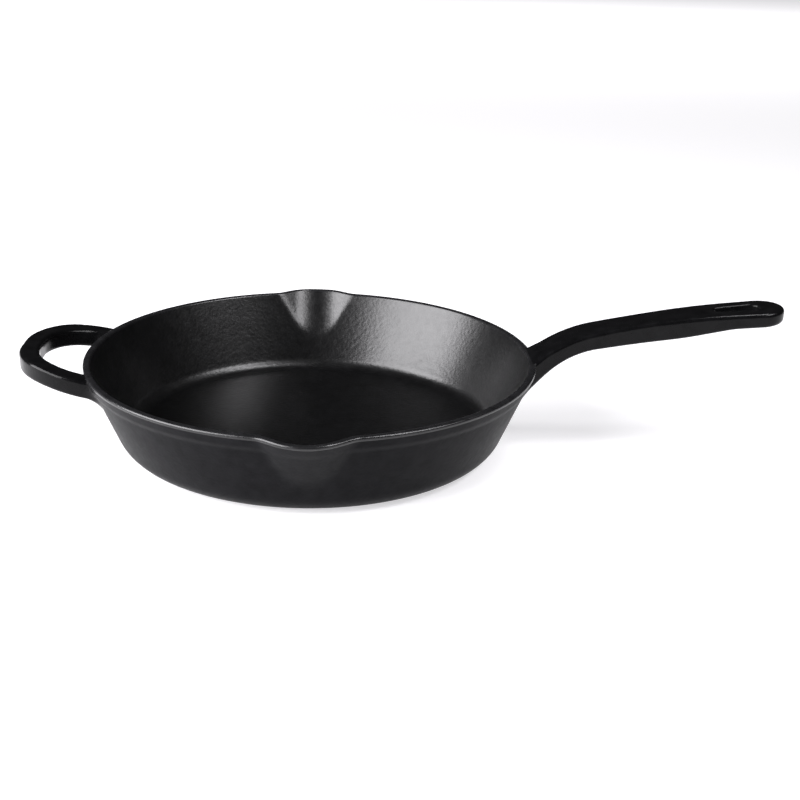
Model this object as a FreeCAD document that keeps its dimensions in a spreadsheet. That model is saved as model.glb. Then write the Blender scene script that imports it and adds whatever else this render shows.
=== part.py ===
import FreeCAD, Part
import math
import os
import Sketcher
from FreeCAD import Vector

# Enamelled cast-iron skillet: one grey-iron casting (pan, long handle and helper
# handle) under thin coats of vitreous enamel. Nothing on it moves.
#
# Frame: origin at the centre of the base, on the plane it rests on. +Z is up,
# +X runs along the long handle, and the pour spouts are on +Y and -Y.
# Every length is in millimetres. Slopes and leans are plain ratios.

DIMENSIONS = {
    # Pan
    "rim_radius": 140.6,
    "pan_height": 54.7,
    "wall_flare": 0.417,
    "wall_width": 4.7,
    "floor_thickness": 5.0,
    "base_round": 17.5,
    "floor_round": 10.0,
    "rim_round": 1.8,
    "lip_round": 1.3,
    "band_height": 8.0,
    "band_step": 1.0,
    "band_slope": 1.5,
    # Pour spouts
    "spout_point": 158.7,
    "spout_slope": 0.76,
    "spout_back": 100.0,
    "spout_round": 30.0,
    "spout_depth": 40.0,
    "spout_lean": 0.74,
    "channel_depth": 38.0,
    "channel_lean": 0.80,
    "channel_rise": 5.0,
    # Long handle, from the side
    "grip_root": 126.0,
    "grip_root_top": 54.4,
    "grip_toe": 137.0,
    "grip_toe_round": 6.0,
    "grip_knee": 160.5,
    "grip_knee_top": 70.7,
    "grip_knee_round": 88.0,
    "grip_back": 226.0,
    "grip_back_top": 84.4,
    "grip_back_round": 600.0,
    "grip_tip": 296.0,
    "grip_tip_top": 89.8,
    "grip_root_under": 28.5,
    "grip_bend": 162.0,
    "grip_bend_under": 60.4,
    "grip_bend_round": 56.0,
    "grip_belly": 232.0,
    "grip_belly_under": 70.9,
    "grip_belly_round": 290.0,
    "grip_thin": 262.0,
    "grip_thin_under": 77.5,
    "grip_thin_round": 80.0,
    "grip_tip_under": 80.5,
    # Long handle, from above
    "grip_root_half": 22.0,
    "grip_neck": 146.0,
    "grip_neck_half": 14.0,
    "grip_neck_round": 18.0,
    "grip_waist": 204.0,
    "grip_waist_half": 12.0,
    "grip_waist_round": 260.0,
    "grip_end_half": 16.7,
    "grip_end_round": 15.6,
    "grip_edge": 3.0,
    # Hang hole in the long handle
    "eye_start": 252.0,
    "eye_start_half": 3.8,
    "eye_start_round": 3.4,
    "eye_end": 281.5,
    "eye_end_half": 7.2,
    "eye_end_round": 6.2,
    "eye_edge": 1.2,
    # Helper handle
    "loop_root": 122.0,
    "loop_rim": 140.0,
    "loop_end": 178.2,
    "loop_half": 52.0,
    "loop_round": 46.0,
    "loop_top": 55.3,
    "loop_depth": 11.2,
    "loop_knee": 160.0,
    "loop_knee_top": 59.5,
    "loop_knee_round": 120.0,
    "loop_end_top": 60.6,
    "loop_edge": 3.6,
    "gap_end": 166.5,
    "gap_half": 39.0,
    "gap_round": 34.0,
    "gap_root": 110.0,
    # Enamel
    "enamel": 0.4,
    "base_flat": 104.0,
    "rim_coat_depth": 2.4,
}

SHARP_ANGLE = 20.0    # degrees between two faces, above which their edge is sharp


# ---------------------------------------------------------------- document helpers

def make_sheet(doc):
    """The spreadsheet of driving dimensions, one alias for each value."""
    sheet = doc.addObject("Spreadsheet::Sheet", "Dims")
    for row, (name, value) in enumerate(DIMENSIONS.items(), start=1):
        sheet.set("A%d" % row, name)
        sheet.set("B%d" % row, str(value))
        sheet.setAlias("B%d" % row, name)
    doc.recompute()
    return sheet


def number(doc, expression):
    """The present value of an expression over the sheet."""
    return float(doc.Dims.evalExpression(expression))


def origin_plane(body, role):
    """One of a body's own origin planes."""
    return [plane for plane in body.Origin.OriginFeatures if plane.Role == role][0]


def fix_point(sketch, geometry, end, x_expression, y_expression):
    """Hold a sketch point at two distances from the sketch origin."""
    doc = sketch.Document
    for kind, expression in (("DistanceX", x_expression), ("DistanceY", y_expression)):
        value = number(doc, expression)
        index = sketch.addConstraint(
            Sketcher.Constraint(kind, -1, 1, geometry, end, value))
        sketch.setExpression("Constraints[%d]" % index, expression)


def toward(start, finish, distance):
    """The point at a distance from start on the way to finish."""
    step = finish - start
    step.normalize()
    return start + step * distance


def round_corner(before, corner, after, radius):
    """Tangent points and middle point of an arc of a given radius in a corner."""
    arm_in = before - corner
    arm_out = after - corner
    half = arm_in.getAngle(arm_out) / 2
    first = toward(corner, before, radius / math.tan(half))
    last = toward(corner, after, radius / math.tan(half))
    middle_way = first + (last - first) * 0.5
    middle = toward(corner, middle_way, radius / math.sin(half) - radius)
    return first, middle, last


def add_loop(sketch, corners):
    """Draw a closed outline. Each corner is (x, y) or (x, y, radius), as expressions."""
    doc = sketch.Document
    points = [Vector(number(doc, c[0]), number(doc, c[1]), 0) for c in corners]
    count = len(corners)
    ends = []
    for i, corner in enumerate(corners):
        if len(corner) == 2:
            ends.append((points[i], None, points[i]))
        else:
            radius = number(doc, corner[2])
            ends.append(round_corner(points[i - 1], points[i], points[(i + 1) % count], radius))
    lines = []
    for i in range(count):
        line = Part.LineSegment(ends[i][2], ends[(i + 1) % count][0])
        lines.append(sketch.addGeometry(line, False))
    for i, corner in enumerate(corners):
        line_in = lines[i - 1]
        line_out = lines[i]
        if len(corner) == 2:
            sketch.addConstraint(Sketcher.Constraint("Coincident", line_in, 2, line_out, 1))
            fix_point(sketch, line_out, 1, corner[0], corner[1])
            continue
        first, middle, last = ends[i]
        arc = sketch.addGeometry(Part.Arc(first, middle, last), False)
        turn = (points[i] - points[i - 1]).cross(points[(i + 1) % count] - points[i]).z
        start, end = (1, 2) if turn > 0 else (2, 1)
        sketch.addConstraint(Sketcher.Constraint("Tangent", line_in, 2, arc, start))
        sketch.addConstraint(Sketcher.Constraint("Tangent", arc, end, line_out, 1))
        radius_index = sketch.addConstraint(
            Sketcher.Constraint("Radius", arc, number(doc, corner[2])))
        sketch.setExpression("Constraints[%d]" % radius_index, corner[2])
        apex = sketch.addGeometry(Part.Point(points[i]), True)
        sketch.addConstraint(Sketcher.Constraint("PointOnObject", apex, 1, line_in))
        sketch.addConstraint(Sketcher.Constraint("PointOnObject", apex, 1, line_out))
        fix_point(sketch, apex, 1, corner[0], corner[1])


def outline(body, name, role, *loops, height=None):
    """A sketch of closed outlines on one of the body's origin planes."""
    sketch = body.newObject("Sketcher::SketchObject", name)
    sketch.AttachmentSupport = [(origin_plane(body, role), "")]
    sketch.MapMode = "FlatFace"
    if height:
        sketch.setExpression("AttachmentOffset.Base.z", height)
    for corners in loops:
        add_loop(sketch, corners)
    body.Document.recompute()
    return sketch


def mirrored_in_x(corners):
    """A closed outline from its upper half, given from one end to the other."""
    lower = [(c[0], "-(%s)" % c[1]) + tuple(c[2:]) for c in reversed(corners)]
    return corners + lower


def sharp_edges(shape, wanted):
    """Names of the sharp edges of a shape whose middle point is wanted."""
    names = []
    for index, edge in enumerate(shape.Edges, start=1):
        middle = edge.valueAt((edge.FirstParameter + edge.LastParameter) / 2)
        if not wanted(middle):
            continue
        faces = shape.ancestorsOfType(edge, Part.Face)
        if len(faces) != 2:
            continue
        normals = [face.normalAt(*face.Surface.parameter(middle)) for face in faces]
        if math.degrees(normals[0].getAngle(normals[1])) > SHARP_ANGLE:
            names.append("Edge%d" % index)
    return names


def round_edges(body, name, radius, wanted):
    """A PartDesign fillet on the sharp edges that are wanted."""
    base = body.Tip
    fillet = body.newObject("PartDesign::Fillet", name)
    fillet.Base = (base, sharp_edges(base.Shape, wanted))
    fillet.setExpression("Radius", radius)
    body.Document.recompute()
    return fillet


# ---------------------------------------------------------------- forms of the pan

def add_mirrored(body, name, feature, role):
    """Repeat a feature on the other side of one of the body's origin planes."""
    mirror = body.newObject("PartDesign::Mirrored", name)
    mirror.Originals = [feature]
    mirror.MirrorPlane = (origin_plane(body, role), [""])
    body.Tip = mirror
    body.Document.recompute()
    return mirror


def revolve(body, name, sketch):
    """A full turn of a profile about the pan's axis."""
    turn = body.newObject("PartDesign::Revolution", name)
    turn.Profile = sketch
    turn.ReferenceAxis = (sketch, ["V_Axis"])
    turn.Angle = 360
    body.Document.recompute()
    return turn


def add_spouts(body, point, rounding, height, depth, lean):
    """Two pour spouts: a rounded V, run down the wall at a lean, on both sides."""
    half_back = "((%s) - Dims.spout_back) / Dims.spout_slope" % point
    profile = outline(body, body.Label + "_spout_plan", "XY_Plane", [
        ("-" + half_back, "Dims.spout_back"),
        (half_back, "Dims.spout_back"),
        ("0", point, rounding),
    ], height=height)
    spout = body.newObject("PartDesign::Pad", body.Label + "_spout")
    spout.Profile = profile
    spout.UseCustomVector = True
    spout.Direction = Vector(0, -1, -1)
    spout.setExpression("Direction.y", "-(%s)" % lean)
    spout.AlongSketchNormal = True
    spout.setExpression("Length", depth)
    body.Document.recompute()
    add_mirrored(body, body.Label + "_spouts", spout, "XZ_Plane")


def outside_form(doc, label, coat):
    """Solid shape of the pan without its hollow, inset by the thickness of a coat."""
    body = doc.addObject("PartDesign::Body", label)
    top = "Dims.pan_height - %s" % coat
    wall = "Dims.rim_radius - Dims.band_step - %s" % coat
    low = "Dims.band_height + Dims.band_slope"
    profile = outline(body, label + "_profile", "XZ_Plane", [
        ("0", coat),
        (wall + " - Dims.pan_height * Dims.wall_flare", coat, "Dims.base_round - " + coat),
        (wall + " - (%s) * Dims.wall_flare" % low, "Dims.pan_height - (%s)" % low),
        (wall + " + Dims.band_step - Dims.band_height * Dims.wall_flare",
         "Dims.pan_height - Dims.band_height"),
        ("Dims.rim_radius - " + coat, top),
        ("0", top),
    ])
    revolve(body, label + "_turn", profile)
    tilt = ("sqrt(1 + Dims.spout_slope * Dims.spout_slope"
            " + Dims.spout_lean * Dims.spout_lean) + Dims.spout_lean")
    add_spouts(body,
               point="Dims.spout_point - %s * (%s)" % (coat, tilt),
               rounding="Dims.spout_round - " + coat,
               height=top,
               depth="Dims.spout_depth",
               lean="Dims.spout_lean")
    height = number(doc, top)
    round_edges(body, label + "_rim", "Dims.rim_round - " + coat,
                lambda middle: abs(middle.z - height) < 0.01)
    return body


def inside_form(doc, label, grow):
    """Shape of the pan's hollow, grown into the wall and floor by a given amount."""
    body = doc.addObject("PartDesign::Body", label)
    top = "Dims.pan_height + Dims.channel_rise"
    floor = "Dims.floor_thickness - %s" % grow
    mouth = "Dims.rim_radius - Dims.wall_width + Dims.channel_rise * Dims.wall_flare + " + grow
    profile = outline(body, label + "_profile", "XZ_Plane", [
        ("0", floor),
        (mouth + " - (Dims.pan_height + Dims.channel_rise - (%s)) * Dims.wall_flare" % floor,
         floor, "Dims.floor_round + " + grow),
        (mouth, top),
        ("0", top),
    ])
    revolve(body, label + "_turn", profile)
    slant = "sqrt(1 + Dims.spout_slope * Dims.spout_slope)"
    tilt = ("sqrt(1 + Dims.spout_slope * Dims.spout_slope"
            " + Dims.channel_lean * Dims.channel_lean)")
    add_spouts(body,
               point="Dims.spout_point + Dims.channel_rise * Dims.channel_lean"
                     " - Dims.wall_width * %s + (%s) * %s" % (slant, grow, tilt),
               rounding="Dims.spout_round - Dims.wall_width + " + grow,
               height=top,
               depth="Dims.channel_depth",
               lean="Dims.channel_lean")
    return body


# ---------------------------------------------------------------- forms of the handles

def pad_both_ways(body, name, sketch, length):
    """A pad that runs half its length to each side of its sketch."""
    pad = body.newObject("PartDesign::Pad", name)
    pad.Profile = sketch
    pad.SideType = "Symmetric"
    pad.setExpression("Length", length)
    body.Document.recompute()
    return pad


def cut_upward(body, name, sketch, length):
    """A pocket that runs up from its sketch."""
    before = body.Tip.Shape.Volume
    pocket = body.newObject("PartDesign::Pocket", name)
    pocket.Profile = sketch
    pocket.Reversed = True
    pocket.setExpression("Length", length)
    body.Document.recompute()
    if pocket.Shape.Volume > before - 1.0:
        raise RuntimeError(name + " cuts nothing")
    return pocket


def frame_around(x_low, x_high, half):
    """A rectangle wider than a handle, so a pocket trims the handle to an outline."""
    return [(x_low, "-(%s)" % half), (x_high, "-(%s)" % half), (x_high, half), (x_low, half)]


def long_handle_form(doc, label, coat):
    """Long handle, inset by the thickness of a coat: side view trimmed to its plan."""
    body = doc.addObject("PartDesign::Body", label)
    side = outline(body, label + "_side", "XZ_Plane", [
        ("Dims.grip_root", "Dims.grip_root_top - " + coat),
        ("Dims.grip_toe", "Dims.grip_root_top - " + coat, "Dims.grip_toe_round"),
        ("Dims.grip_knee", "Dims.grip_knee_top - " + coat, "Dims.grip_knee_round"),
        ("Dims.grip_back", "Dims.grip_back_top - " + coat, "Dims.grip_back_round"),
        ("Dims.grip_tip", "Dims.grip_tip_top - " + coat),
        ("Dims.grip_tip", "Dims.grip_tip_under + " + coat),
        ("Dims.grip_thin", "Dims.grip_thin_under + " + coat, "Dims.grip_thin_round"),
        ("Dims.grip_belly", "Dims.grip_belly_under + " + coat, "Dims.grip_belly_round"),
        ("Dims.grip_bend", "Dims.grip_bend_under + " + coat, "Dims.grip_bend_round"),
        ("Dims.grip_root", "Dims.grip_root_under + " + coat),
    ])
    pad_both_ways(body, label + "_blank", side, "2 * Dims.grip_root_half")
    plan = mirrored_in_x([
        ("Dims.grip_root - 1", "Dims.grip_root_half - " + coat),
        ("Dims.grip_neck", "Dims.grip_neck_half - " + coat, "Dims.grip_neck_round"),
        ("Dims.grip_waist", "Dims.grip_waist_half - " + coat, "Dims.grip_waist_round"),
        ("Dims.grip_tip - " + coat, "Dims.grip_end_half - " + coat,
         "Dims.grip_end_round - " + coat),
    ])
    around = frame_around("Dims.grip_root - 2", "Dims.grip_tip + 2", "2 * Dims.grip_root_half")
    trim = outline(body, label + "_plan", "XY_Plane", around, plan)
    cut_upward(body, label + "_trim", trim, "2 * Dims.pan_height")
    eye = outline(body, label + "_eye_plan", "XY_Plane", mirrored_in_x([
        ("Dims.eye_start - " + coat, "Dims.eye_start_half + " + coat,
         "Dims.eye_start_round + " + coat),
        ("Dims.eye_end + " + coat, "Dims.eye_end_half + " + coat,
         "Dims.eye_end_round + " + coat),
    ]))
    cut_upward(body, label + "_eye", eye, "2 * Dims.pan_height")
    round_edges(body, label + "_eye_edge", "Dims.eye_edge - " + coat, in_eye(doc))
    root = number(doc, "Dims.grip_root") + 0.5
    eye_zone = in_eye(doc)
    round_edges(body, label + "_edge", "Dims.grip_edge - " + coat,
                lambda middle: middle.x > root and not eye_zone(middle))
    return body


def in_eye(doc):
    """A test for points on the edges of the hang hole."""
    start = number(doc, "Dims.eye_start - 1")
    end = number(doc, "Dims.eye_end + 1")
    half = number(doc, "Dims.eye_end_half + 1")
    return lambda middle: start < middle.x < end and abs(middle.y) < half


def helper_form(doc, label, coat):
    """Helper handle, inset by the thickness of a coat: a bent slab trimmed to a loop."""
    body = doc.addObject("PartDesign::Body", label)
    rise = "(Dims.loop_knee_top - Dims.loop_top) / (Dims.loop_knee - Dims.loop_rim)"
    root_top = "Dims.loop_top - (Dims.loop_rim - Dims.loop_root) * %s" % rise
    below = " - Dims.loop_depth + " + coat
    side = outline(body, label + "_side", "XZ_Plane", [
        ("-Dims.loop_root", root_top + " - " + coat),
        ("-Dims.loop_knee", "Dims.loop_knee_top - " + coat, "Dims.loop_knee_round"),
        ("-Dims.loop_end", "Dims.loop_end_top - " + coat),
        ("-Dims.loop_end", "Dims.loop_end_top" + below),
        ("-Dims.loop_knee", "Dims.loop_knee_top" + below, "Dims.loop_knee_round"),
        ("-Dims.loop_root", root_top + below),
    ])
    pad_both_ways(body, label + "_blank", side, "3 * Dims.loop_half")
    plan = mirrored_in_x([
        ("1 - Dims.loop_root", "Dims.loop_half - " + coat),
        (coat + " - Dims.loop_end", "Dims.loop_half - " + coat, "Dims.loop_round - " + coat),
    ])
    around = frame_around("-Dims.loop_end - 2", "2 - Dims.loop_root", "2 * Dims.loop_half")
    trim = outline(body, label + "_plan", "XY_Plane", around, plan)
    cut_upward(body, label + "_trim", trim, "2 * Dims.pan_height")
    gap = outline(body, label + "_gap_plan", "XY_Plane", mirrored_in_x([
        ("-Dims.gap_root", "Dims.gap_half + " + coat),
        ("-Dims.gap_end - " + coat, "Dims.gap_half + " + coat, "Dims.gap_round + " + coat),
    ]))
    cut_upward(body, label + "_gap", gap, "2 * Dims.pan_height")
    root = -number(doc, "Dims.loop_root") - 0.5
    round_edges(body, label + "_edge", "Dims.loop_edge - " + coat,
                lambda middle: middle.x < root)
    return body


# ---------------------------------------------------------------- the pieces

def boolean(doc, kind, label, base, tool):
    """A Part::Cut or Part::Common of two objects."""
    result = doc.addObject("Part::" + kind, label)
    result.Base = base
    result.Tool = tool
    doc.recompute()
    return result


def cut_all(doc, label, base, tools):
    """One Part::Cut after another, the last one carrying the label."""
    result = base
    for step, tool in enumerate(tools, start=1):
        name = label if step == len(tools) else "%s_cut_%d" % (label, step)
        result = boolean(doc, "Cut", name, result, tool)
    return result


def hollow_pan(doc, label, outside, inside, height, radius):
    """Outside form less the hollow, with the rim's inner edge rounded."""
    shell = boolean(doc, "Cut", label + "_shell", outside, inside)
    level = number(doc, height)
    size = number(doc, radius)
    edges = sharp_edges(shell.Shape, lambda middle: abs(middle.z - level) < 0.01)
    pan = doc.addObject("Part::Fillet", label)
    pan.Base = shell
    pan.Edges = [(int(name[4:]), size, size) for name in edges]
    doc.recompute()
    return pan


def rim_zone(doc):
    """The slice of space that the rim's coat lies in."""
    zone = doc.addObject("Part::Cylinder", "rim_zone")
    zone.setExpression("Radius", "Dims.rim_radius * 1.5")
    zone.setExpression("Height", "2 * Dims.rim_coat_depth")
    zone.setExpression("Placement.Base.z", "Dims.pan_height - Dims.rim_coat_depth")
    doc.recompute()
    return zone


def base_zone(doc):
    """The disc of space that the coat under the flat base lies in."""
    zone = doc.addObject("Part::Cylinder", "base_zone")
    zone.setExpression("Radius", "Dims.base_flat")
    zone.setExpression("Height", "2 * Dims.enamel")
    zone.setExpression("Placement.Base.z", "-Dims.enamel")
    doc.recompute()
    return zone


def make_pieces(doc):
    """Every piece of the skillet: three of bare iron and six coats of enamel."""
    coat = "Dims.enamel"
    outside = outside_form(doc, "outside", "0")
    outside_core = outside_form(doc, "outside_core", coat)
    inside = inside_form(doc, "inside", "0")
    inside_core = inside_form(doc, "inside_core", coat)
    mid_wall = inside_form(doc, "mid_wall", "Dims.wall_width / 2")
    grip = long_handle_form(doc, "grip", "0")
    grip_core = long_handle_form(doc, "grip_core", coat)
    loop = helper_form(doc, "loop", "0")
    loop_core = helper_form(doc, "loop_core", coat)
    rim = rim_zone(doc)
    base = base_zone(doc)

    pan = hollow_pan(doc, "pan", outside, inside, "Dims.pan_height", "Dims.lip_round")
    iron_pan = hollow_pan(doc, "iron_pan", outside_core, inside_core,
                          "Dims.pan_height - Dims.enamel", "Dims.lip_round - Dims.enamel")
    coats = boolean(doc, "Cut", "coats", pan, iron_pan)
    inner_coat = boolean(doc, "Common", "inner_coat", coats, mid_wall)
    outer_coat = boolean(doc, "Cut", "outer_coat", coats, mid_wall)
    rim_coat = boolean(doc, "Common", "rim_coat", coats, rim)

    return {
        "iron_pan": iron_pan,
        "iron_long_handle": cut_all(doc, "iron_long_handle", grip_core, [outside_core]),
        "iron_helper_handle": cut_all(doc, "iron_helper_handle", loop_core, [outside_core]),
        "inside_enamel": cut_all(doc, "inside_enamel", inner_coat, [rim]),
        "rim_enamel": cut_all(doc, "rim_enamel", rim_coat, [grip_core, loop_core]),
        "wall_enamel": cut_all(doc, "wall_enamel", outer_coat,
                               [rim, base, grip_core, loop_core]),
        "base_enamel": boolean(doc, "Common", "base_enamel", outer_coat, base),
        "long_handle_enamel": cut_all(doc, "long_handle_enamel", grip, [grip_core, outside]),
        "helper_handle_enamel": cut_all(doc, "helper_handle_enamel", loop,
                                        [loop_core, outside]),
    }


def check(doc, pieces):
    """Stop if any object failed or any piece isn't one valid closed solid."""
    for item in doc.Objects:
        if "Invalid" in item.State or "Error" in item.State:
            raise RuntimeError("%s failed: %s" % (item.Label, item.State))
    for name, piece in pieces.items():
        shape = piece.Shape
        if shape.isNull() or not shape.isValid() or len(shape.Solids) != 1:
            raise RuntimeError("%s has no single valid solid" % name)


def main():
    doc = FreeCAD.newDocument("Skillet")
    make_sheet(doc)
    pieces = make_pieces(doc)
    check(doc, pieces)
    os.makedirs("parts", exist_ok=True)
    for name, piece in pieces.items():
        piece.Label = name
        piece.Shape.exportStep(os.path.join("parts", name + ".step"))
        print("%-22s %9.1f mm3" % (name, piece.Shape.Volume))


main()
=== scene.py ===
import math

import bpy
import numpy as np
from mathutils import Matrix, Vector


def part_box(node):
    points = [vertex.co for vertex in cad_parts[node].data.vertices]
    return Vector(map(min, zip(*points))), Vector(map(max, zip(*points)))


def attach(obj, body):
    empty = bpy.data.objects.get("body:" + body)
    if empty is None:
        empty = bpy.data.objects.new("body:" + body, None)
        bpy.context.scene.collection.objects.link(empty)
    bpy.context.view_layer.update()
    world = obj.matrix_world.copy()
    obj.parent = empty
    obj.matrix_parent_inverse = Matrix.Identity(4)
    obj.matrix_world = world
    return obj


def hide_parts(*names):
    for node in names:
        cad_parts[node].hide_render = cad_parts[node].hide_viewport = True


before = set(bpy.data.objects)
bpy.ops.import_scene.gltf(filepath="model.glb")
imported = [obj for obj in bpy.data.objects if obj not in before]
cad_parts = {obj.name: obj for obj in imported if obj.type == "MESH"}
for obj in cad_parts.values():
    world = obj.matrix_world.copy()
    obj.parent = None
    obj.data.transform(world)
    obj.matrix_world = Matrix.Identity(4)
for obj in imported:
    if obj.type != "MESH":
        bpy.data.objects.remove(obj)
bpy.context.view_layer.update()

# Enamelled cast-iron skillet. The three iron solids of the frame stay inside as the
# casting. Each coat of enamel is replaced by a finer closed skin of the same shape.
# Frame: +Z up from the base, +X along the long handle, spouts on +Y and -Y.
# Shapes are worked out in millimetres and stored in metres.

MM = 0.001
COAT = 0.4                  # thickness of each coat in the CAD
SKIN = 0.35                 # thickness of each skin here

# Pan
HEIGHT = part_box("rim_enamel")[1][2] / MM
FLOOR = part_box("inside_enamel")[0][2] / MM + COAT
BASE_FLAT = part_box("base_enamel")[1][0] / MM
RIM = 140.6                 # outside radius at the rim
FLARE = 0.417               # how far the wall leans out for each mm up
WALL = 4.7                  # wall thickness, measured level
BASE_ROUND = 17.5
FLOOR_ROUND = 10.0
RIM_ROUND = 1.3             # outer edge of the rim
LIP_ROUND = 1.3             # inner edge of the rim
RIM_COAT = 2.4              # how far the rim skin comes down outside
LIP_COAT = 1.2              # and inside
BAND_TOP = 6.5              # depth below the rim at which its raised band starts to fade
BAND_FADE = 4.5             # height over which it fades
BAND_STEP = 0.85            # how far it stands off the wall
SPOUT_BAND_STEP = 0.33      # the same in the spouts

# Pour spouts: a V with a rounded nose that leans inward as it goes down the wall
SPOUT_POINT = 158.7         # where the sides of the V would meet, from the axis, at the rim
SPOUT_SLOPE = 0.76          # how far a side falls back for each mm sideways
SPOUT_SLANT = math.hypot(1, SPOUT_SLOPE)
SPOUT_ROUND = 30.0
SPOUT_LEAN = 0.74           # how far it leans inward for each mm down
SPOUT_SPAN = 0.4            # where a spout ends, as the sine of the angle off its nose
CHANNEL_LEAN = 0.80         # lean of the channel inside a spout
CREASE = 1.4                # width over which a spout blends into the round wall
LIP_DIP = 0.33              # how far the lip dips at a spout's nose
LIP_DIP_WIDTH = 0.075       # its half width, as the sine of an angle
LIP_DIP_DEPTH = 12.0        # depth below the rim at which the dip ends

# Rings of the pan's skins
ANGLES = np.linspace(0, 2 * math.pi, 720, endpoint=False)
BASE_ARC_RINGS = 14
FLOOR_ARC_RINGS = 12
EDGE_ARC_RINGS = 9
OUTSIDE_RINGS = 19
LEDGE_RINGS = 11
BAND_RINGS = 5
INSIDE_RINGS = 24
FLAT_RINGS = 34
FLAT_GAP = 3.0              # room left round the axis, and beside the floor's round edge

SHARP_ANGLE = math.radians(40)


# ---------------------------------------------------------------- meshes

def signed_volume(points, faces):
    """Volume inside closed faces, negative if they face inward."""
    first = points[faces[:, 0]]
    volume = 0.0
    for a, b in ((1, 2), (2, 3)):
        side = np.cross(points[faces[:, a]], points[faces[:, b]])
        volume += (first * side).sum() / 6
    return volume


def add_mesh(name, points, faces):
    """A smooth-shaded object from points in millimetres and four-cornered faces.

    A face that names a corner twice becomes a triangle.
    """
    if signed_volume(points, faces) < 0:
        faces = faces[:, ::-1]
    mesh = bpy.data.meshes.new(name)
    corners = [tuple(dict.fromkeys(face)) for face in faces.tolist()]
    mesh.from_pydata((points * MM).tolist(), [], corners)
    mesh.shade_smooth()
    mesh.set_sharp_from_angle(angle=SHARP_ANGLE)
    mesh.update()
    piece = bpy.data.objects.new(name, mesh)
    bpy.context.scene.collection.objects.link(piece)
    return piece


def unit(vectors):
    """Vectors scaled to length 1."""
    return vectors / np.linalg.norm(vectors, axis=-1, keepdims=True)


# ---------------------------------------------------------------- the pan

def smooth_max(first, second, width):
    """The larger of two fields, with the crease between them eased."""
    blend = np.clip(0.5 + 0.5 * (first - second) / width, 0, 1)
    return second + (first - second) * blend + width * blend * (1 - blend)


def ease(value):
    """A smooth step from 0 to 1."""
    value = np.clip(value, 0, 1)
    return value * value * (3 - 2 * value)


def spout_reach(angle, point, rounding):
    """How far the rounded V reaches from the pan's axis in a direction."""
    across = np.abs(np.cos(angle))
    along = np.abs(np.sin(angle))
    side = point / (along + SPOUT_SLOPE * across)
    centre = point - rounding * SPOUT_SLANT
    nose = centre * along + np.sqrt(np.maximum(rounding ** 2 - (centre * across) ** 2, 0))
    reach = np.where(side * across > rounding * SPOUT_SLOPE / SPOUT_SLANT, side, nose)
    return np.where(across < SPOUT_SPAN, reach, 0)


def outer_radius(angle, level):
    """Outside of the wall at a level, spouts and rim band included."""
    below = HEIGHT - level
    ledge = ease((below - BAND_TOP) / BAND_FADE)
    plain = RIM - FLARE * below - BAND_STEP * ledge
    spout = spout_reach(angle, SPOUT_POINT - SPOUT_LEAN * below, SPOUT_ROUND)
    return smooth_max(plain, spout - SPOUT_BAND_STEP * ledge, CREASE)


def inner_radius(angle, level):
    """Inside of the wall at a level, spout channels included."""
    below = HEIGHT - level
    plain = RIM - WALL - FLARE * below
    point = SPOUT_POINT - WALL * SPOUT_SLANT - CHANNEL_LEAN * below
    return smooth_max(plain, spout_reach(angle, point, SPOUT_ROUND - WALL), CREASE)


def ring(radius, level):
    """One ring of (radius, level) pairs round the pan."""
    return np.stack([np.broadcast_to(value, ANGLES.shape) for value in (radius, level)], -1)


def rounded(corner, before, after, radius, count):
    """Rings along the arc that rounds a corner between two directions."""
    before = unit(before)
    after = unit(after)
    half = np.arccos((before * after).sum(-1, keepdims=True)) / 2
    centre = corner + unit(before + after) * radius / np.sin(half)
    start = corner + before * radius / np.tan(half) - centre
    end = corner + after * radius / np.tan(half) - centre
    swing = math.pi - 2 * half
    return [centre + (start * np.sin((1 - t) * swing) + end * np.sin(t * swing)) / np.sin(swing)
            for t in np.linspace(0, 1, count)]


def dipped(rings):
    """Lower the lip slightly at the nose of each spout."""
    at_nose = np.exp(-(np.cos(ANGLES) / LIP_DIP_WIDTH) ** 2)
    near_rim = ease(1 - (HEIGHT - rings[..., 1]) / LIP_DIP_DEPTH)
    rings[..., 1] -= LIP_DIP * at_nose * near_rim
    return rings


def wall_rings(radius, low, high, count):
    """Rings on a wall whose radius depends on the angle and the level."""
    levels = np.linspace(low, high, count)
    return [ring(radius(ANGLES, level), level) for level in levels]


def edge_directions(radius):
    """Directions down a wall from the rim, one for each angle."""
    return ring(radius(ANGLES, HEIGHT - 1) - radius(ANGLES, HEIGHT), -1.0)


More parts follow.
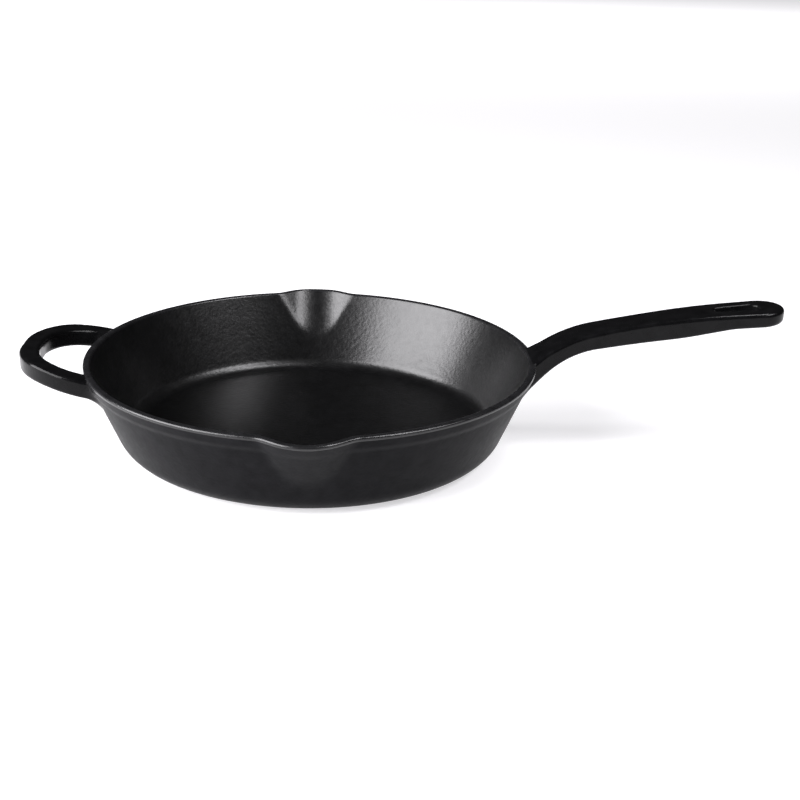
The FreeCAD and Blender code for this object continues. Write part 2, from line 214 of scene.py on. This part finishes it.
def pan_rings():
    """Rings over the whole pan, named by the skin they belong to."""
    up_wall = ring(FLARE, 1.0)
    inward = ring(-1.0, 0.0)
    outward = ring(1.0, 0.0)
    rim_seam = HEIGHT - RIM_COAT
    lip_seam = HEIGHT - LIP_COAT
    base_corner = ring(RIM - BAND_STEP - FLARE * HEIGHT, 0.0)
    base_arc = rounded(base_corner, inward, up_wall, BASE_ROUND, BASE_ARC_RINGS)
    floor_corner = ring(RIM - WALL - FLARE * (HEIGHT - FLOOR), FLOOR)
    floor_arc = rounded(floor_corner, up_wall, inward, FLOOR_ROUND, FLOOR_ARC_RINGS)

    wall_foot = base_arc[-1][0, 1] + 1.5
    ledge_top = HEIGHT - BAND_TOP
    ledge_foot = ledge_top - BAND_FADE
    # The ledge under the band has closer rings than the rest of the wall.
    outside = [ring(BASE_FLAT, 0.0)] + base_arc
    outside += wall_rings(outer_radius, wall_foot, ledge_foot - 1.0, OUTSIDE_RINGS)
    outside += wall_rings(outer_radius, ledge_foot - 0.4, ledge_top + 0.4, LEDGE_RINGS)
    outside += wall_rings(outer_radius, ledge_top + 1.0, rim_seam, BAND_RINGS)

    rim_corner = ring(outer_radius(ANGLES, HEIGHT), HEIGHT)
    lip_corner = ring(inner_radius(ANGLES, HEIGHT), HEIGHT)
    down_outside = edge_directions(outer_radius)
    down_inside = edge_directions(inner_radius)
    rim_arc = rounded(rim_corner, down_outside, inward, RIM_ROUND, EDGE_ARC_RINGS)
    lip_arc = rounded(lip_corner, outward, down_inside, LIP_ROUND, EDGE_ARC_RINGS)
    rim = wall_rings(outer_radius, rim_seam, rim_seam, 1) + rim_arc
    rim += [(rim_arc[-1] + lip_arc[0]) / 2] + lip_arc
    rim += wall_rings(inner_radius, lip_seam, lip_seam, 1)

    channel_foot = floor_arc[0][0, 1] + 1.2
    floor_edge = floor_arc[-1][0, 0] - FLAT_GAP
    inside = wall_rings(inner_radius, lip_seam, channel_foot, INSIDE_RINGS) + floor_arc
    inside += [ring(radius, FLOOR) for radius in np.linspace(floor_edge, FLAT_GAP, FLAT_RINGS)]
    base = [ring(radius, 0.0) for radius in np.linspace(FLAT_GAP, BASE_FLAT, FLAT_RINGS)]
    return {
        "wall": np.array(outside),
        "rim": np.array(rim),
        "inside": np.array(inside[::-1]),
        "base": np.array(base),
    }


def section_normals(rings, middle):
    """Normals of the rings in the plane through the axis, away from a (radius, level)."""
    run = np.gradient(rings, axis=0)
    normals = unit(np.stack([run[..., 1], -run[..., 0]], -1))
    if ((rings - middle) * normals).sum() < 0:
        normals = -normals
    return normals


def turned(rings):
    """Points (x, y, z) of rings of (radius, level) pairs."""
    radius = rings[..., 0]
    return np.stack([radius * np.cos(ANGLES), radius * np.sin(ANGLES), rings[..., 1]], -1)


def grid_faces(rows, columns, joined):
    """Faces between successive rings, and between the last and the first if joined."""
    row = np.arange(rows if joined else rows - 1)[:, None]
    column = np.arange(columns)[None, :]
    here = row * columns
    ahead = (row + 1) % rows * columns
    beside = (column + 1) % columns
    quads = np.stack([here + column, here + beside, ahead + beside, ahead + column], -1)
    return quads.reshape(-1, 4)


def pan_skin(name, rings, middle, capped):
    """A thin closed skin under rings, on the side of a middle point.

    A capped skin reaches over the pan's axis.
    """
    normals = section_normals(rings, middle)
    rings = dipped(rings)
    loop = np.concatenate([rings, (rings - SKIN * normals)[::-1]])
    rows, columns = loop.shape[:2]
    points = turned(loop).reshape(-1, 3)
    faces = grid_faces(rows, columns, not capped)
    if capped:
        near_pole = np.full(columns, len(points))
        far_pole = near_pole + 1
        poles = [[0, 0, loop[0, 0, 1]], [0, 0, loop[-1, 0, 1]]]
        points = np.concatenate([points, poles])
        here = np.arange(columns)
        beside = (here + 1) % columns
        last = (rows - 1) * columns
        first_fan = np.stack([here, near_pole, near_pole, beside], -1)
        last_fan = np.stack([last + beside, far_pole, far_pole, last + here], -1)
        faces = np.concatenate([faces, first_fan, last_fan])
    return add_mesh(name, points, faces)


# ---------------------------------------------------------------- the handles

CORNER_STEPS = 28           # points on each rounded corner of an outline


def outline(*corners):
    """A closed outline. Each corner is (u, v) or (u, v, radius)."""
    count = len(corners)
    points = []
    for i, corner in enumerate(corners):
        here = np.array(corner[:2], float)
        if len(corner) == 2:
            points.append(here[None])
            continue
        before = np.array(corners[i - 1][:2], float) - here
        after = np.array(corners[(i + 1) % count][:2], float) - here
        points.append(np.array(rounded(here, before, after, corner[2], CORNER_STEPS)))
    return np.concatenate(points)


def mirrored(*corners):
    """A closed outline from its upper half, given from one end to the other."""
    lower = [(c[0], -c[1]) + tuple(c[2:]) for c in reversed(corners)]
    return outline(*corners, *lower)


def distance(shape, u, v):
    """Signed distance to a closed outline, negative inside it."""
    u, v = np.broadcast_arrays(u, v)
    ahead = np.roll(shape, -1, 0)
    best = np.full(u.shape, 1e9)
    inside = np.zeros(u.shape, bool)
    for (a, b), (c, d) in zip(shape, ahead):
        run = np.array([c - a, d - b])
        t = np.clip(((u - a) * run[0] + (v - b) * run[1]) / (run @ run), 0, 1)
        best = np.minimum(best, (u - a - t * run[0]) ** 2 + (v - b - t * run[1]) ** 2)
        if b != d:
            inside ^= ((b <= v) != (d <= v)) & (u < a + (v - b) * run[0] / run[1])
    return np.where(inside, -1, 1) * np.sqrt(best)


def common(first, second, radius):
    """Where two fields overlap, with the edge between them rounded."""
    corner = np.hypot(np.maximum(first + radius, 0), np.maximum(second + radius, 0))
    return np.minimum(np.maximum(first, second), -radius) + corner


def joined(first, second, radius):
    """Two fields together, with a fillet between them."""
    corner = np.hypot(np.maximum(radius - first, 0), np.maximum(radius - second, 0))
    return np.maximum(np.minimum(first, second), radius) - corner


def pan_field(x, y, z):
    """Signed distance to the outside of the pan away from its spouts."""
    radius = np.hypot(x, y)
    lean = math.atan(FLARE)
    below = HEIGHT - z
    wall = RIM - FLARE * below - BAND_STEP * ease((below - BAND_TOP) / BAND_FADE)
    side = (radius - wall) * math.cos(lean)
    corner = np.array([RIM, HEIGHT])
    down = unit(np.array([-FLARE, -1.0]))
    inward = np.array([-1.0, 0.0])
    half = math.acos(down @ inward) / 2
    centre = corner + unit(down + inward) * RIM_ROUND / math.sin(half)
    u = radius - centre[0]
    v = z - centre[1]
    in_arc = (u > 0) & (v * math.cos(lean) + u * math.sin(lean) > 0)
    return np.where(in_arc, np.hypot(u, v) - RIM_ROUND, np.maximum(side, -below))


# Handles. A side outline is (x, z) or (x, z, radius), a plan outline (x, y) or
# (x, y, radius). Both side outlines run past the end of the handle, so that only the
# plan outline shapes it.
GRIP_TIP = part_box("long_handle_enamel")[1][0] / MM
PAST_GRIP = GRIP_TIP + 14
GRIP_SIDE = outline(
    (126, 54.4), (137, 54.4, 6), (160.5, 70.7, 88), (226, 84.4, 600), (PAST_GRIP, 90.9),
    (PAST_GRIP, 81.7), (262, 77.5, 80), (232, 70.9, 290), (162, 60.4, 56), (126, 28.5))
GRIP_PLAN = mirrored((125, 22), (146, 14, 18), (204, 12, 260), (GRIP_TIP, 16.7, 15.6))
GRIP_EYE = mirrored((252, 3.8, 3.4), (281.5, 7.2, 6.2))
GRIP_EDGE = 2.7
EYE_EDGE = 1.3
GRIP_FILLET = 5.0

LOOP_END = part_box("helper_handle_enamel")[0][0] / MM
PAST_LOOP = LOOP_END - 18.2
LOOP_SIDE = outline(
    (-122, 51.52), (-160, 59.5, 120), (PAST_LOOP, 61.7), (PAST_LOOP, 50.5),
    (-160, 48.3, 120), (-122, 40.32))
LOOP_PLAN = mirrored((-121, 52), (LOOP_END, 52, 46))
LOOP_GAP = mirrored((-110, 39), (-166.5, 39, 34))
LOOP_EDGE = 2.3
LOOP_FILLET = 6.0

CELL = 0.8                  # size of the cells in which a handle's surface is found
STANDING = 0.03             # height off the pan from which a handle's skin is kept
SUNK = 0.08                 # how deep the skin's border sits in the pan's skin
PROBE = 0.02                # half the step over which a slope is measured


def grip_field(x, y, z):
    """Long handle with rounded edges and its hang hole."""
    bar = common(distance(GRIP_SIDE, x, z), distance(GRIP_PLAN, x, y), GRIP_EDGE)
    return common(bar, -distance(GRIP_EYE, x, y), EYE_EDGE)


def loop_field(x, y, z):
    """Helper handle with rounded edges."""
    plan = np.maximum(distance(LOOP_PLAN, x, y), -distance(LOOP_GAP, x, y))
    return common(distance(LOOP_SIDE, x, z), plan, LOOP_EDGE)


def on_pan(handle, fillet, start, fade):
    """A handle on the pan, with a fillet that fades out up to a level near the rim."""
    def field(x, y, z):
        """Signed distance to the two together."""
        radius = fillet * ease((start - z) / fade)
        return joined(handle(x, y, z), pan_field(x, y, z), radius)
    return field


def edge_cells(values, axis):
    """The steps along an axis: value at the start, sign change or not, distance to it."""
    low = np.take(values, np.arange(values.shape[axis] - 1), axis)
    high = np.take(values, np.arange(1, values.shape[axis]), axis)
    crosses = (low < 0) != (high < 0)
    share = np.where(crosses, low / np.where(crosses, low - high, 1.0), 0.0)
    return low, crosses, share * CELL


def surface(field, low, high):
    """Points and four-cornered faces on the zero surface of a field in a box."""
    low = np.array(low, float)
    counts = np.ceil((np.array(high) - low) / CELL).astype(int) + 1
    x, y, z = [low[i] + CELL * np.arange(counts[i]) for i in range(3)]
    values = field(x[:, None, None], y[None, :, None], z[None, None, :])
    cells = tuple(counts - 1)
    total = np.zeros(cells + (3,))
    number = np.zeros(cells)
    corner = np.stack(np.meshgrid(x, y, z, indexing="ij"), -1)
    walls = []
    for axis in range(3):
        start, crosses, along = edge_cells(values, axis)
        place = corner[tuple(slice(0, n) for n in crosses.shape)].copy()
        place[..., axis] += along
        place[~crosses] = 0
        b, c = (axis + 1) % 3, (axis + 2) % 3
        for shift_b in (0, 1):
            for shift_c in (0, 1):
                cut = [slice(None)] * 3
                cut[b] = slice(shift_b, shift_b + cells[b])
                cut[c] = slice(shift_c, shift_c + cells[c])
                total += place[tuple(cut)]
                number += crosses[tuple(cut)]
        walls.append((axis, b, c, start, crosses))
    active = number > 0
    points = total[active] / number[active][:, None]
    index = np.full(cells, -1)
    index[active] = np.arange(len(points))
    faces = []
    for axis, b, c, start, crosses in walls:
        at = np.argwhere(crosses)
        at = at[(at[:, b] > 0) & (at[:, b] < cells[b]) & (at[:, c] > 0) & (at[:, c] < cells[c])]
        quad = []
        for shift_b, shift_c in ((1, 1), (0, 1), (0, 0), (1, 0)):
            cell = at.copy()
            cell[:, b] -= shift_b
            cell[:, c] -= shift_c
            quad.append(index[tuple(cell.T)])
        quad = np.stack(quad, -1)
        flip = start[tuple(at.T)] > 0
        quad[flip] = quad[flip][:, ::-1]
        faces.append(quad)
    return points, np.concatenate(faces)


def slope_of(field, points):
    """Gradient of a field at points."""
    slopes = []
    for axis in range(3):
        shift = np.zeros(3)
        shift[axis] = PROBE
        ahead = field(*(points + shift).T)
        behind = field(*(points - shift).T)
        slopes.append((ahead - behind) / (2 * PROBE))
    return np.stack(slopes, -1)


def handle_skin(name, field, low, high):
    """A thin closed skin over the part of a field's surface that stands off the pan."""
    points, faces = surface(field, low, high)
    for _ in range(3):      # steps toward the exact surface
        slope = slope_of(field, points)
        level = field(*points.T)
        points = points - slope * (level / (slope ** 2).sum(-1))[:, None]
    normals = unit(slope_of(field, points))
    standing = pan_field(*points.T) > STANDING
    faces = faces[standing[faces].any(-1)]
    used = np.unique(faces)
    renumber = np.full(len(points), -1)
    renumber[used] = np.arange(len(used))
    faces = renumber[faces]
    points, normals, standing = points[used], normals[used], standing[used]
    points[~standing] -= SUNK * normals[~standing]
    count = len(points)
    shell = np.concatenate([points, points - SKIN * normals])
    sides = np.concatenate([faces[:, [k, (k + 1) % 4]] for k in range(4)])
    keys = np.sort(sides, -1)
    _, first, uses = np.unique(keys, axis=0, return_index=True, return_counts=True)
    start, end = sides[first[uses == 1]].T
    border = np.stack([end, start, start + count, end + count], -1)
    return add_mesh(name, shell, np.concatenate([faces, faces[:, ::-1] + count, border]))


# ---------------------------------------------------------------- materials

PATCH = 9.0                 # size of the blotches of tint, mm
STREAK = 5.4                # size of the patches of roughness, mm
NOISE_RANGE = (0.3, 0.7)    # where most of a noise's values lie


def add_node(tree, kind, **settings):
    """A node whose settings name its sockets or its properties."""
    node = tree.nodes.new(kind)
    for key, value in settings.items():
        if key in node.inputs:
            node.inputs[key].default_value = value
        else:
            setattr(node, key, value)
    return node


def noise(tree, place, size, detail, rough=0.5):
    """Noise with features of about a size in millimetres."""
    scale = 1 / (size * MM)
    node = add_node(tree, "ShaderNodeTexNoise", Scale=scale, Detail=detail, Roughness=rough)
    tree.links.new(place, node.inputs["Vector"])
    return node.outputs["Fac"]


def spread(tree, source, low, high):
    """Noise stretched to a range."""
    node = add_node(tree, "ShaderNodeMapRange")
    node.inputs["From Min"].default_value = NOISE_RANGE[0]
    node.inputs["From Max"].default_value = NOISE_RANGE[1]
    node.inputs["To Min"].default_value = low
    node.inputs["To Max"].default_value = high
    tree.links.new(source, node.inputs["Value"])
    return node.outputs["Result"]


def bump(tree, height, depth, before=None):
    """A bump of a depth in millimetres, on top of the one before it."""
    node = add_node(tree, "ShaderNodeBump", Strength=1.0, Distance=depth * MM)
    tree.links.new(height, node.inputs["Height"])
    if before:
        tree.links.new(before, node.inputs["Normal"])
    return node.outputs["Normal"]


def make_material(name, dark, light, rough, grains, metallic=0.0, level=0.5):
    """A mottled surface between two tints.

    rough is (smoothest, roughest). Each grain is (size in mm, depth in mm, detail).
    """
    material = bpy.data.materials.new(name)
    material.use_nodes = True
    tree = material.node_tree
    shader = tree.nodes["Principled BSDF"]
    shader.inputs["Metallic"].default_value = metallic
    shader.inputs["Specular IOR Level"].default_value = level
    place = add_node(tree, "ShaderNodeTexCoord").outputs["Object"]
    tint = add_node(tree, "ShaderNodeMix", data_type="RGBA")
    tint.inputs["A"].default_value = (*dark, 1)
    tint.inputs["B"].default_value = (*light, 1)
    blotches = noise(tree, place, PATCH, 5, 0.65)
    tree.links.new(spread(tree, blotches, 0, 1), tint.inputs["Factor"])
    tree.links.new(tint.outputs["Result"], shader.inputs["Base Color"])
    streaks = noise(tree, place, STREAK, 6, 0.7)
    tree.links.new(spread(tree, streaks, *rough), shader.inputs["Roughness"])
    normal = None
    for size, depth, detail in grains:
        normal = bump(tree, noise(tree, place, size, detail), depth, normal)
    tree.links.new(normal, shader.inputs["Normal"])
    return material


# ---------------------------------------------------------------- building

rings = pan_rings()

# Each middle is a (radius, level) on the iron's side of the rings.
inside_skin = pan_skin("inside_skin", rings["inside"], middle=(160.0, -40.0), capped=True)
rim_skin = pan_skin("rim_skin", rings["rim"], middle=(RIM - WALL / 2, HEIGHT - 3), capped=False)
wall_skin = pan_skin("wall_skin", rings["wall"], middle=(100.0, 30.0), capped=False)
base_skin = pan_skin("base_skin", rings["base"], middle=(60.0, 30.0), capped=True)

# The box round each handle is wide enough for its fillet on the pan.
grip_skin = handle_skin(
    "long_handle_skin", on_pan(grip_field, GRIP_FILLET, start=HEIGHT - 3, fade=14),
    low=(118, -34, 14), high=(GRIP_TIP + 2, 34, 92))
loop_skin = handle_skin(
    "helper_handle_skin", on_pan(loop_field, LOOP_FILLET, start=HEIGHT - 2.5, fade=7),
    low=(LOOP_END - 2, -66, 28), high=(-108, 66, 63))

inside_look = make_material(
    "inside_enamel_look", dark=(0.0012, 0.0012, 0.0013), light=(0.0034, 0.0034, 0.0037),
    rough=(0.28, 0.35), grains=[(14, 0.08, 1), (2.4, 0.11, 1)])
outside_look = make_material(
    "outside_enamel_look", dark=(0.0035, 0.0035, 0.0042), light=(0.0075, 0.0075, 0.0086),
    rough=(0.36, 0.45), grains=[(18, 0.10, 1), (1.9, 0.07, 3)], level=0.05)
rim_look = make_material(
    "rim_enamel_look", dark=(0.006, 0.006, 0.0065), light=(0.014, 0.014, 0.015),
    rough=(0.2, 0.3), grains=[(10, 0.05, 1), (1.6, 0.04, 2)], level=0.4)
handle_look = make_material(
    "handle_enamel_look", dark=(0.002, 0.002, 0.0022), light=(0.005, 0.005, 0.0054),
    rough=(0.12, 0.2), grains=[(11, 0.10, 1), (2.4, 0.03, 2)], level=0.12)
iron_look = make_material(
    "cast_iron_look", dark=(0.055, 0.055, 0.057), light=(0.11, 0.11, 0.112),
    rough=(0.55, 0.8), grains=[(2.5, 0.15, 4)], metallic=0.9)

coats = (
    (inside_skin, "inside_enamel", "enamel_inside", inside_look),
    (rim_skin, "rim_enamel", "enamel_rim", rim_look),
    (wall_skin, "wall_enamel", "enamel_outside", outside_look),
    (base_skin, "base_enamel", "enamel_outside", outside_look),
    (grip_skin, "long_handle_enamel", "enamel_handles", handle_look),
    (loop_skin, "helper_handle_enamel", "enamel_handles", handle_look),
)
for piece, node, slot, look in coats:
    piece.data.materials.append(look)
    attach(piece, "root")
    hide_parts(node)

for node in ("iron_pan", "iron_long_handle", "iron_helper_handle"):
    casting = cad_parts[node]
    for holder in casting.material_slots:
        holder.material = iron_look


# ---------------------------------------------------------------- studio

STUDIO_TINT = (0.985, 0.975, 1.0)
FLOOR_REACH = 30.0          # from the middle to each side, m
FLOOR_GAP = 0.0002          # between the base and the floor, m
FLOOR_GREY = 0.55
FLOOR_GLOW = 0.62
WORLD_LIGHT = 0.015
BACKDROP_GREY = 0.64        # what the camera sees past the floor


def add_floor():
    """A pale floor under the skillet, which glows a little."""
    mesh = bpy.data.meshes.new("floor")
    corners = [(x * FLOOR_REACH, y * FLOOR_REACH, 0) for x, y in ((-1, -1), (1, -1), (1, 1), (-1, 1))]
    mesh.from_pydata(corners, [], [(0, 1, 2, 3)])
    floor = bpy.data.objects.new("floor", mesh)
    floor.location.z = -FLOOR_GAP
    bpy.context.scene.collection.objects.link(floor)
    material = bpy.data.materials.new("floor_look")
    material.use_nodes = True
    shader = material.node_tree.nodes["Principled BSDF"]
    shader.inputs["Base Color"].default_value = (FLOOR_GREY, FLOOR_GREY, FLOOR_GREY, 1)
    shader.inputs["Roughness"].default_value = 0.9
    shader.inputs["Emission Color"].default_value = (*STUDIO_TINT, 1)
    shader.inputs["Emission Strength"].default_value = FLOOR_GLOW
    mesh.materials.append(material)


def add_softbox(name, place, aim, width, height, power, spread=180):
    """A rectangular soft light that faces a point, in metres, watts and degrees."""
    light = bpy.data.lights.new(name, "AREA")
    light.shape = "RECTANGLE"
    light.size = width
    light.size_y = height
    light.energy = power
    light.spread = math.radians(spread)
    light.color = STUDIO_TINT
    lamp = bpy.data.objects.new(name, light)
    lamp.location = place
    lamp.visible_camera = False
    lamp.rotation_euler = (Vector(aim) - Vector(place)).to_track_quat("-Z", "Y").to_euler()
    bpy.context.scene.collection.objects.link(lamp)


def add_world():
    """Faint even light from all round, and a paler backdrop for the camera."""
    world = bpy.data.worlds.new("studio")
    world.use_nodes = True
    tree = world.node_tree
    around = tree.nodes["Background"]
    around.inputs["Color"].default_value = (1, 1, 1, 1)
    around.inputs["Strength"].default_value = WORLD_LIGHT
    backdrop = tree.nodes.new("ShaderNodeBackground")
    backdrop.inputs["Color"].default_value = (BACKDROP_GREY, BACKDROP_GREY, BACKDROP_GREY, 1)
    seen = tree.nodes.new("ShaderNodeLightPath")
    either = tree.nodes.new("ShaderNodeMixShader")
    tree.links.new(seen.outputs["Is Camera Ray"], either.inputs["Fac"])
    tree.links.new(around.outputs["Background"], either.inputs[1])
    tree.links.new(backdrop.outputs["Background"], either.inputs[2])
    tree.links.new(either.outputs["Shader"], tree.nodes["World Output"].inputs["Surface"])
    bpy.context.scene.world = world


def add_camera(place, turn, tilt, roll, lens):
    """A camera at a place, turned from +Y, tilted down and rolled, in degrees."""
    data = bpy.data.cameras.new("camera")
    data.lens = lens
    data.sensor_width = 36
    data.clip_start = 0.05
    data.clip_end = 80
    camera = bpy.data.objects.new("camera", data)
    spin = Matrix.Rotation(math.radians(turn), 4, "Z")
    pitch = Matrix.Rotation(math.radians(90 - tilt), 4, "X")
    bank = Matrix.Rotation(math.radians(roll), 4, "Z")
    camera.matrix_world = Matrix.Translation(place) @ spin @ pitch @ bank
    bpy.context.scene.collection.objects.link(camera)
    bpy.context.scene.camera = camera


add_floor()
add_world()
add_softbox(
    "left_softbox", place=(-1.29, -0.47, 0.7), aim=(0.05, 0.0, 0.05),
    width=1.6, height=1.2, power=77)
add_softbox(
    "right_softbox", place=(0.88, -0.42, 1.1), aim=(0.0, 0.0, 0.05),
    width=0.75, height=0.4, power=12)
add_softbox(
    "top_softbox", place=(0.56, -0.1, 1.38), aim=(0.0, 0.0, 0.0),
    width=0.3, height=0.3, power=7)
add_softbox(
    "far_softbox", place=(0.0, 3.4, 2.4), aim=(0.0, 3.6, 0.0),
    width=5.5, height=2.2, power=72, spread=100)
add_camera(
    place=(0.01439, -0.74430, 0.30757), turn=-3.2, tilt=20.834, roll=1.596, lens=56.25)
bpy.context.scene.view_settings.view_transform = "Standard"
